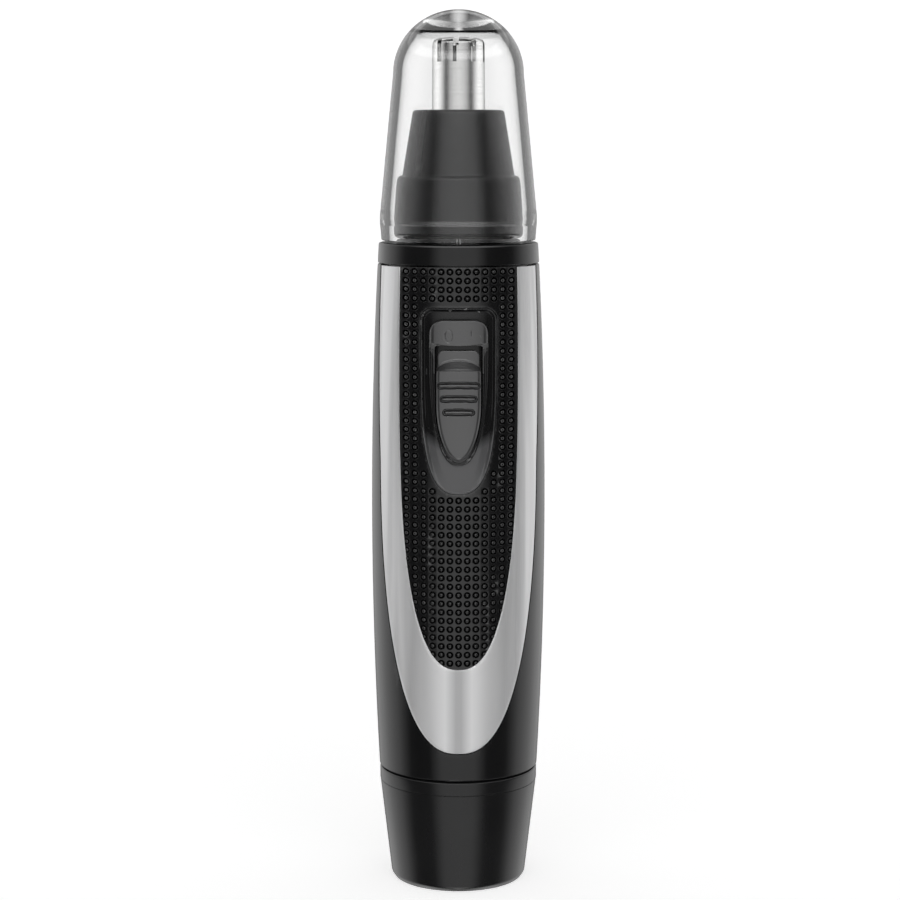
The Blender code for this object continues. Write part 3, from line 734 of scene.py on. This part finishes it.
def body():
    """Barrel housing with the pocket that holds the trim and the pad."""
    levels = np.linspace(BODY_LOW + 0.2, BODY_TOP - 0.15, 48)
    levels = np.union1d(levels, [BODY_LOW + 0.35, BODY_LOW + 0.5])
    corners = [(barrel(BODY_LOW) - 0.15, BODY_LOW, 0.05)]
    corners += [(float(barrel(z)), float(z)) for z in levels]
    corners += [(barrel(BODY_TOP) - 0.12, BODY_TOP, 0.05), (10.7, BODY_TOP)]
    corners += [(10.7, BODY_LOW + 2.1), (10.15, BODY_LOW + 2.1), (10.15, BODY_LOW)]
    shell = turned("barrel_housing", soften(corners), ["gloss_black"])
    side = trim_side(0.12)
    side[-1, 1] = BODY_TOP + 1.0
    pocket = relief("pocket_tool", side, 0.5, 41, lambda x, z: np.full_like(x, 2.0), -0.9, [])
    apply_cut(shell, [pocket])
    place_piece(shell, "handle", "body_housing")


def trim():
    """Satin silver U with a fine bevel along both edges and a lip over the pad."""
    right_out, right_in = trim_side(), pad_side()
    outer = np.vstack([right_out[::-1], right_out[1:] * [-1, 1]])
    inner = np.vstack([right_in[::-1], right_in[1:] * [-1, 1]])
    bevel = [(0.0, -0.06), (0.05, -0.005), (0.15, 0.08), (0.24, TRIM_RISE)]
    lip = 1.7

    def section(i, gap):
        middle = np.linspace(0.24, gap - 0.24, 22)[1:-1]
        points = [(0.0, -INLAY)] + bevel
        points += [(a, TRIM_RISE) for a in middle]
        points += [(gap - a, h) for a, h in bevel[:0:-1]]
        points += [(gap, 0.015), (gap - lip, 0.015), (gap - lip, -INLAY)]
        return np.array(points)

    obj = swept("silver_trim", outer, inner, section, ["satin_silver"], closed=False)
    place_piece(obj, "handle", "front_trim")


def dot_profile():
    """Rings of one dot as (radius, height): a dome in a deep round groove with a soft rim."""
    dome = 0.29
    rings = [(dome * math.sin(a), 0.05 - 0.2 * (1 - math.cos(a))) for a in (0.3, 0.65, 1.0, 1.3)]
    return rings + [(0.31, -0.28), (0.37, -0.46), (0.50, -0.08), (0.53, -0.01), (0.57, 0.0)]


def cell_border():
    """Points round the border of one square cell of the pad, from its right middle."""
    points = []
    half = DOT_PITCH / 2
    for i in range(DOT_CORNERS):
        angle = math.tau * i / DOT_CORNERS
        x, z = math.cos(angle), math.sin(angle)
        stretch = half / max(abs(x), abs(z))
        points.append((x * stretch, z * stretch))
    return points


def dot_cell(verts, faces, centre, dotted):
    """Add one square cell of the pad, with or without its dot, to the lists."""
    rings = dot_profile() if dotted else [(0.3, 0.0)]
    first = len(verts)
    verts.append((*centre, 0.05 if dotted else 0.0))
    for radius, height in rings:
        for i in range(DOT_CORNERS):
            angle = math.tau * i / DOT_CORNERS
            x, z = centre[0] + radius * math.cos(angle), centre[1] + radius * math.sin(angle)
            verts.append((x, z, height))
    verts += [(centre[0] + x, centre[1] + z, 0.0) for x, z in cell_border()]
    for i in range(DOT_CORNERS):
        k = (i + 1) % DOT_CORNERS
        faces.append((first, first + 1 + i, first + 1 + k))
        for ring in range(len(rings)):
            a = first + 1 + ring * DOT_CORNERS
            faces.append((a + i, a + DOT_CORNERS + i, a + DOT_CORNERS + k, a + k))


def pad_cells(side, recess):
    """Centres of the cells under the pad's outline, each with whether it holds a dot."""
    rows = int((DOT_TOP - PAD_TIP) / DOT_PITCH) + 2
    recess_line = whole_outline(recess)
    outline = whole_outline(side)
    found = []
    for row in range(rows):
        for column in range(-7, 8):
            x, z = column * DOT_PITCH, DOT_TOP - row * DOT_PITCH
            reach_x = abs(x) - DOT_PITCH / 2
            width = np.interp([z - 0.7, z, z + 0.7], side[:, 1], side[:, 0], left=0.0).max()
            if reach_x > width or z + 0.7 < PAD_TIP:
                continue
            to_recess = float(edge_distance(np.array([x]), np.array([z]), recess_line)[0])
            if inside(x, z, recess):
                to_recess = -to_recess
            edges = (-DOT_PITCH / 2, 0.0, DOT_PITCH / 2)
            corners = [(x + a, z + b) for a in edges for b in edges]
            if any(inside(a, b, recess) for a, b in corners):
                continue
            to_edge = float(edge_distance(np.array([x]), np.array([z]), outline)[0])
            covered = not inside(x, z, side) and to_edge > 0.3
            dotted = to_recess > 0.38 and not covered and abs(column) < 7
            found.append(((x, z), dotted))
    return found


def cell_of(x, z):
    """Column and row of the cell that holds a point of the pad."""
    return round(x / DOT_PITCH), round((DOT_TOP - z) / DOT_PITCH)


def fill_flat(bm, edges, kept, depth, spacing):
    """Fill what lies between edges with even triangles laid on the barrel at a depth."""
    corners = sorted({v for e in edges for v in e.verts}, key=lambda v: tuple(v.co))
    index = {v: i for i, v in enumerate(corners)}
    flat = [Vector((v.co.x, v.co.z)) for v in corners]
    pairs = [(index[e.verts[0]], index[e.verts[1]]) for e in edges]
    taken = np.array([tuple(p) for p in flat])
    for z in np.arange(taken[:, 1].min(), taken[:, 1].max(), spacing):
        for x in np.arange(-9.0, 9.01, spacing):
            free = np.hypot(taken[:, 0] - x, taken[:, 1] - z).min() > 0.4 * spacing
            if free and kept(x, z):
                flat.append(Vector((x, z)))
    points, _, faces, sources, _, _ = delaunay_2d_cdt(flat, pairs, [], 0, 1e-6)
    made = []
    for point, source in zip(points, sources):
        old = source and source[0] < len(corners)
        made.append(corners[source[0]] if old else bm.verts.new(on_front(point.x, point.y, depth)))
    for face in faces:
        x, z = sum((points[i] for i in face), Vector((0.0, 0.0))) / len(face)
        if kept(x, z):
            bm.faces.new([made[i] for i in face])
    bmesh.ops.delete(bm, geom=[v for v in bm.verts if not v.link_faces], context="VERTS")


def close_pad(bm, recess, cells):
    """Fill the band round the recess, then give the pad its walls and its back."""

    def near(x, z):
        return abs(x) < 7.1 and 59.0 < z < 90.5  # the cells round the recess

    def banded(x, z):
        return near(x, z) and cell_of(x, z) not in cells and not inside(x, z, recess)

    def backed(x, z):
        return banded(x, z) or cell_of(x, z) in cells

    outline = whole_outline(recess)
    edges = [e for e in bm.edges if e.is_boundary and all(near(v.co.x, v.co.z) for v in e.verts)]
    loop = [bm.verts.new(p) for p in on_front(outline[:, 0], outline[:, 1], 0.0)]
    edges += [bm.edges.new(pair) for pair in zip(loop, loop[1:] + loop[:1])]
    fill_flat(bm, edges, banded, 0.0, 0.26)
    rim = [e for e in bm.edges if e.is_boundary]
    walls = bmesh.ops.extrude_edge_only(bm, edges=rim)["geom"]
    for item in walls:
        if isinstance(item, bmesh.types.BMVert):
            item.co = Vector(on_front(item.co.x, item.co.z, -INLAY))
    back = [e for e in walls if isinstance(e, bmesh.types.BMEdge) and e.is_boundary]
    fill_flat(bm, back, backed, -INLAY, 1.1)


def grip():
    """Rubber pad of small domes in round grooves, plain close to the switch recess."""
    side, recess = pad_side(), recess_side(0.07)
    verts, faces, cells = [], [], set()
    for centre, dotted in pad_cells(side, recess):
        dot_cell(verts, faces, centre, dotted)
        cells.add(cell_of(*centre))
    flat = np.array(verts)
    points = on_front(flat[:, 0], flat[:, 1], flat[:, 2])
    bm = bmesh.new()
    made = [bm.verts.new(p) for p in points]
    for face in faces:
        bm.faces.new([made[i] for i in face])
    bmesh.ops.remove_doubles(bm, verts=bm.verts, dist=1e-3)
    close_pad(bm, recess, cells)
    mesh = bpy.data.meshes.new("grip_dots")
    bmesh.ops.transform(bm, matrix=Matrix.Scale(MM, 4), verts=bm.verts)
    bmesh.ops.recalc_face_normals(bm, faces=bm.faces)
    bm.to_mesh(mesh)
    bm.free()
    mesh.materials.append(bpy.data.materials["grip_rubber"])
    mesh.shade_smooth()
    mesh.set_sharp_from_angle(angle=math.radians(50))
    obj = bpy.data.objects.new("grip_dots", mesh)
    bpy.context.scene.collection.objects.link(obj)
    place_piece(obj, "handle", "grip_pad")


def bezel():
    """Sunken surround of the switch: a fine lip, a deep channel and a thumb ramp below."""
    outline = whole_outline(recess_side())

    def height(x, z):
        d = edge_distance(x, z, outline)
        depth = smooth((z - 61.4) / 8.0) * (1 - 0.5 * smooth((z - 85.2) / 1.8))
        bead = 0.09 * np.exp(-(((d - 0.15) / 0.10) ** 2))
        fall = smooth((d - 0.18) / 0.4)
        slope = 0.2 * np.clip((d - 0.55) / 1.0, 0.0, 1.0)
        return bead - depth * (0.72 * fall - slope)

    obj = relief("switch_surround", recess_side(), 0.11, 101, height, -0.75, ["recess_plastic"])
    place_piece(obj, "handle", "switch_bezel")


def matched(side, count):
    """An outline's right side as evenly spaced points."""
    steps = np.linalg.norm(np.diff(side, axis=0), axis=1)
    length = np.concatenate([[0.0], np.cumsum(steps)])
    along = np.linspace(0.0, length[-1], count)
    return np.column_stack([np.interp(along, length, side[:, i]) for i in (0, 1)])


def loop_of(points, top_steps):
    """Closed loop from a right side whose top is filled in with evenly spaced points."""
    end = points[-1]
    top = np.column_stack(
        [np.linspace(end[0], -end[0], top_steps + 2)[1:-1], np.full(top_steps, end[1])]
    )
    left = points[::-1] * [-1, 1]
    return np.vstack([points, top, left[:-1]])


def switch_frame():
    """Raised frame round the slider and the hood that the slider's tab runs under."""
    hood_edge, pocket_top, floor = 82.85, 85.2, -0.1
    side_out = frame_side()
    side_in = side_of_shield(3.5, 65.75, 9.0, 2.0, hood_edge, 0.3)
    outer, inner = loop_of(matched(side_out, 150), 70), loop_of(matched(side_in, 150), 70)
    outline, hole = whole_outline(side_out), whole_outline(side_in)
    mark = (-1.5, 84.35)

    def top_height(x, z):
        d = edge_distance(x, z, outline)
        hood = smooth((z - hood_edge + 0.05 - 0.02 * x**2) / 0.12)
        edge = edge_distance(x, z, hole)
        level = 0.16 + 0.60 * smooth((z - 66.0) / 10.0)
        valley = 0.34 * np.exp(-((2.4 * (d / (d + edge + 1e-6) - 0.5)) ** 2)) * smooth(z - 66.0)
        valley = valley * (1 - smooth((z - 81.9) / 0.6))
        ring = level - round_off(d, 0.16) - round_off(edge, 0.12) - valley
        crown = 1.0 - round_off(4.3 - np.abs(x), 0.75) * 0.75 - round_off(d, 0.2)
        crown = crown - round_off(np.maximum(z - hood_edge, 0.0), 0.14)
        rho = np.hypot((x - mark[0]) / 0.55, (z - mark[1]) / 0.9)
        groove = 0.05 * np.exp(-(((rho - 1.0) / 0.13) ** 2))
        bar = 0.05 * np.exp(-(((x - 1.9) / 0.08) ** 2)) * smooth((0.4 - np.abs(z - 84.7)) / 0.1)
        return ring * (1 - hood) + (crown - groove - bar) * hood

    def section(i, gap):
        a = gap * (1 - np.cos(np.linspace(0.0, math.pi, 54))) / 2
        share = (a / gap)[:, None]
        points = outer[i] + (inner[i] - outer[i]) * share
        tops = top_height(points[:, 0], points[:, 1])
        x_in, z_in = inner[i]
        under_hood = z_in > hood_edge - 0.03 and abs(x_in) < 3.3
        back = gap - (pocket_top - hood_edge) if under_hood else gap
        ceiling = 0.52 if under_hood else floor + 0.01
        rest = [(gap, ceiling), (back, ceiling), (back, floor), (0.0, floor)]
        return np.vstack([np.column_stack([a, tops]), rest])

    obj = swept("slide_frame", outer, inner, section, ["switch_grey", "frame_black"], closed=True)
    for face in obj.data.polygons:
        x, z = abs(face.center.x) / MM, face.center.z / MM
        rail = z > 78.8 and x < 3.66 + 0.3 * smooth((z - 80.9) / 1.2)
        face.material_index = int(z < hood_edge - 0.25 and not rail)
    place_piece(obj, "handle", "switch_frame")


def rib_relief(x, z):
    """Three arched ribs, each standing in its own groove, that shorten downwards."""
    result = np.zeros_like(x)
    for i, half in enumerate((2.66, 2.25, 1.85)):
        middle = 77.17 - 1.96 * i - 0.012 * x**2
        along = np.maximum(np.abs(x) - half, 0.0)
        d = np.hypot(along, z - middle)
        rib = 0.10 * (1 - smooth(d / 0.24))
        groove = 0.55 * np.exp(-(((d - 0.35) / 0.145) ** 4))
        result += rib - groove
    return result


def slider():
    """Slide switch: a low tab, a scooped step and a thumb pad with three ribs."""
    side = side_of_shield(3.3, 66.1, 8.5, 2.0, 82.2, 1.0)
    side[:, 0] -= 0.2 * smooth((side[:, 1] - 78.6) / 1.6) * (side[:, 0] > 2.0)
    outline = whole_outline(side)
    arc_foot, crest, low_level, high_level = 79.3, 79.2, 0.2, 1.0

    def height(x, z):
        d = edge_distance(x, z, outline)
        arc = arc_foot + 1.4 * np.sqrt(np.clip(1 - (x / 3.12) ** 2, 0.0, 1.0))
        climb = np.clip((arc - z) / (arc - crest), 0.0, 1.0)
        soft_crest = 0.04 * smooth((climb - 0.9) / 0.1)
        rise = (high_level - low_level) * (climb - 0.05 * smooth((climb - 0.75) / 0.25)) + soft_crest
        pad = np.where(z < crest, high_level - 0.0022 * (crest - z) ** 2, low_level + rise)
        brow = 0.05 * np.exp(-(((z - arc - 0.12) / 0.1) ** 2))
        tab = smooth((z - crest + 0.4) / 1.2)
        edge = round_off(d, 0.55) * (1 - tab) + round_off(d, 0.18) * tab
        return np.maximum(pad + brow - edge + rib_relief(x, z), 0.05)

    obj = relief("slide_switch", side, 0.055, 121, height, 0.0, ["switch_grey"])
    place_piece(obj, "slider", "switch_slider")


# Stage, light and camera

# Brightness round the studio, by angle from the front in degrees
FRONT_PANEL = [(0, 0.98), (24, 0.92), (42, 0.03), (60, 0.0), (180, 0.0)]
SIDE_PANELS = [(0, 0.0), (60, 0.03), (72, 0.08), (84, 0.55), (94, 1.0), (110, 1.25), (130, 1.3)]
SIDE_PANELS += [(152, 0.85), (166, 0.3), (180, 0.12)]
UNDER_COVER = [(0, 1.15), (20, 1.0), (36, 0.7), (50, 0.12), (58, 0.1), (68, 0.55), (82, 1.3)]
UNDER_COVER += [(98, 1.8), (118, 1.7), (150, 0.75), (166, 0.5), (180, 0.9)]
IN_COVER_WALL = [(0, 0.6), (60, 0.35), (110, 0.3), (135, 0.13), (172, 0.13), (177, 0.8), (180, 1.0)]
LAMP_WIDTH = [(0, 0.8), (40, 0.7), (70, 0.35), (180, 0.3)]

# Brightness up the studio, by angle above the horizon in degrees
TIERS = [(-90, 2.0), (-62, 2.0), (-50, 1.0), (20, 1.0), (27, 0.7), (33, 0.1), (90, 0.06)]
LAMP = [(-90, 0.0), (24, 0.0), (28, 1.9), (38, 1.9), (42, 0.1), (60, 0.03), (90, 0.03)]
PANEL_SHIFT = [(-90, 5), (-26, 5), (-18, 0), (-12, 3), (-4, 11), (90, 11)]  # in degrees

HALVED = 2.0  # ramps hold half the brightness, which keeps them within 1
LAMP_GAIN = 4.0
REAR = 0.6  # directions further round than this share of a half turn count as behind
BACKDROP_THROUGH_COVER = 1.24


class Sky:
    """The world's node tree, with short ways to add maths, mixes and ramps."""

    def __init__(self):
        world = bpy.data.worlds.new("studio")
        bpy.context.scene.world = world
        world.use_nodes = True
        self.tree = world.node_tree
        self.tree.nodes.clear()

    def add(self, kind, **settings):
        """Add a node with its properties."""
        node = self.tree.nodes.new(kind)
        for key, value in settings.items():
            setattr(node, key, value)
        return node

    def feed(self, value, socket):
        """Link an output to a socket, or give the socket a constant."""
        if isinstance(value, bpy.types.NodeSocket):
            self.tree.links.new(value, socket)
        else:
            socket.default_value = value

    def maths(self, operation, first, second=None):
        """One step of maths on outputs or numbers."""
        node = self.add("ShaderNodeMath", operation=operation)
        self.feed(first, node.inputs[0])
        if second is not None:
            self.feed(second, node.inputs[1])
        return node.outputs[0]

    def mix(self, factor, first, second):
        """Two values mixed by a factor."""
        node = self.add("ShaderNodeMix", data_type="FLOAT")
        for value, socket in ((factor, 0), (first, 2), (second, 3)):
            self.feed(value, node.inputs[socket])
        return node.outputs[0]

    def ramp(self, source, stops, unit=HALVED):
        """Values in a unit, at angles that span 180 degrees from the first one."""
        node = self.add("ShaderNodeValToRGB")
        self.feed(source, node.inputs["Fac"])
        elements = node.color_ramp.elements
        while len(elements) < len(stops):
            elements.new(0.5)
        for element, (angle, value) in zip(elements, stops):
            element.position = (angle - stops[0][0]) / 180
            element.color = (value / unit, value / unit, value / unit, 1.0)
        return node.outputs["Color"]


def open_panels(sky, turn, lifted):
    """Brightness round the studio for what reflects it in the open."""
    shift = sky.ramp(lifted, PANEL_SHIFT, unit=180)
    beside = sky.maths("MAXIMUM", sky.maths("SUBTRACT", turn, shift), 0.0)
    return sky.maths("ADD", sky.ramp(turn, FRONT_PANEL), sky.ramp(beside, SIDE_PANELS))


def covered_panels(sky, turn, passes):
    """Brightness round the studio for the pieces under the clear cover and for its wall.

    Light that has passed two of the cover's faces or fewer was reflected in its wall.
    """
    in_wall = sky.maths("LESS_THAN", passes, 2.5)
    return sky.mix(in_wall, sky.ramp(turn, UNDER_COVER), sky.ramp(turn, IN_COVER_WALL))


def studio_world():
    """Soft studio seen only in reflections and as fill: tall panels with dark gaps between."""
    sky = Sky()
    parts = sky.add("ShaderNodeSeparateXYZ")
    sky.feed(sky.add("ShaderNodeTexCoord").outputs["Generated"], parts.inputs[0])
    forward = sky.maths("MULTIPLY", parts.outputs["Y"], -1.0)
    azimuth = sky.maths("ABSOLUTE", sky.maths("ARCTAN2", parts.outputs["X"], forward))
    turn = sky.maths("DIVIDE", azimuth, math.pi)
    elevation = sky.maths("DIVIDE", sky.maths("ARCSINE", parts.outputs["Z"]), math.pi)
    lifted = sky.maths("ADD", elevation, 0.5)

    path = sky.add("ShaderNodeLightPath").outputs
    glossy = sky.maths("MINIMUM", path["Glossy Depth"], 1.0)
    diffuse = sky.maths("MINIMUM", path["Diffuse Depth"], 1.0)
    through = sky.maths("MINIMUM", path["Transmission Depth"], 1.0)
    covered = sky.maths("MULTIPLY", through, glossy)
    rear = sky.maths("MULTIPLY", sky.maths("GREATER_THAN", turn, REAR), covered)
    fore = sky.maths("SUBTRACT", 1.0, rear)
    unbent = sky.maths("SUBTRACT", 1.0, sky.maths("MAXIMUM", glossy, diffuse))

    under = covered_panels(sky, turn, path["Transmission Depth"])
    panels = sky.mix(covered, open_panels(sky, turn, lifted), under)
    tiers = sky.maths("MULTIPLY", sky.ramp(lifted, TIERS), fore)
    tiers = sky.maths("ADD", tiers, sky.maths("MULTIPLY", rear, 1 / HALVED))
    light = sky.maths("MULTIPLY", sky.maths("MULTIPLY", panels, tiers), HALVED**2)
    lamp = sky.maths("MULTIPLY", sky.ramp(lifted, LAMP), sky.ramp(turn, LAMP_WIDTH, unit=1))
    lamp = sky.maths("MULTIPLY", sky.maths("MULTIPLY", lamp, LAMP_GAIN), fore)
    light = sky.maths("ADD", light, lamp)

    straight = sky.maths("MULTIPLY", through, unbent)
    background = sky.add("ShaderNodeBackground")
    sky.feed(sky.mix(straight, light, BACKDROP_THROUGH_COVER), background.inputs["Strength"])
    output = sky.add("ShaderNodeOutputWorld")
    sky.feed(background.outputs[0], output.inputs["Surface"])


def stage_material():
    """Matt white that glows a little."""
    m = Nodes("stage_white", (0.85, 0.85, 0.85), 0.9)
    m.set("Specular IOR Level", 0.0)
    m.set("Emission Color", (1.0, 1.0, 1.0, 1.0))
    m.set("Emission Strength", 0.62)


def make_stage():
    """Plain white floor that curves up into a round backdrop well away from the trimmer."""
    radius, curve, wall = 1600.0, 500.0, 1500.0
    profile = [(0.0, 0.0), (300.0, 0.0), (radius - curve, 0.0)]
    for i in range(1, 17):
        angle = math.pi / 2 * i / 16
        profile.append((radius - curve + curve * math.sin(angle), curve - curve * math.cos(angle)))
    profile += [(radius, wall), (radius * 0.7, wall + 700.0), (0.0, wall + 1000.0)]
    stage_material()
    stage = turned("stage_floor", profile, ["stage_white"], sides=96)
    stage.visible_glossy = False
    stage.visible_diffuse = False
    stage.visible_transmission = False
    stage.visible_shadow = False


def make_camera():
    """Camera in front of the switch side, level with the head, looking slightly down."""
    data = bpy.data.cameras.new("camera")
    data.lens = 94.68
    data.sensor_width = 36.0
    data.clip_start, data.clip_end = 0.01, 10.0
    camera = bpy.data.objects.new("camera", data)
    bpy.context.scene.collection.objects.link(camera)
    camera.location = Vector((-1.26, -355.67, 112.09)) * MM
    camera.rotation_euler = Euler((math.radians(90 - 7.391), 0.0, 0.0))
    bpy.context.scene.camera = camera


def finish_inner_nodes():
    """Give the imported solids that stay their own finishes."""
    slots = {s["node"]: s["material_slot"] for s in frame["record"]["subparts"]}
    for name, node in frame["nodes"].items():
        node.data.materials.clear()
        node.data.materials.append(bpy.data.materials[slots[name]])


for left_over in list(bpy.data.materials):
    bpy.data.materials.remove(left_over)
make_materials()
finish_inner_nodes()
cover()
shroud()
guard()
collar()
battery_cap()
body()
trim()
grip()
bezel()
switch_frame()
slider()
studio_world()
make_stage()
make_camera()
bpy.context.scene.view_settings.view_transform = "Standard"
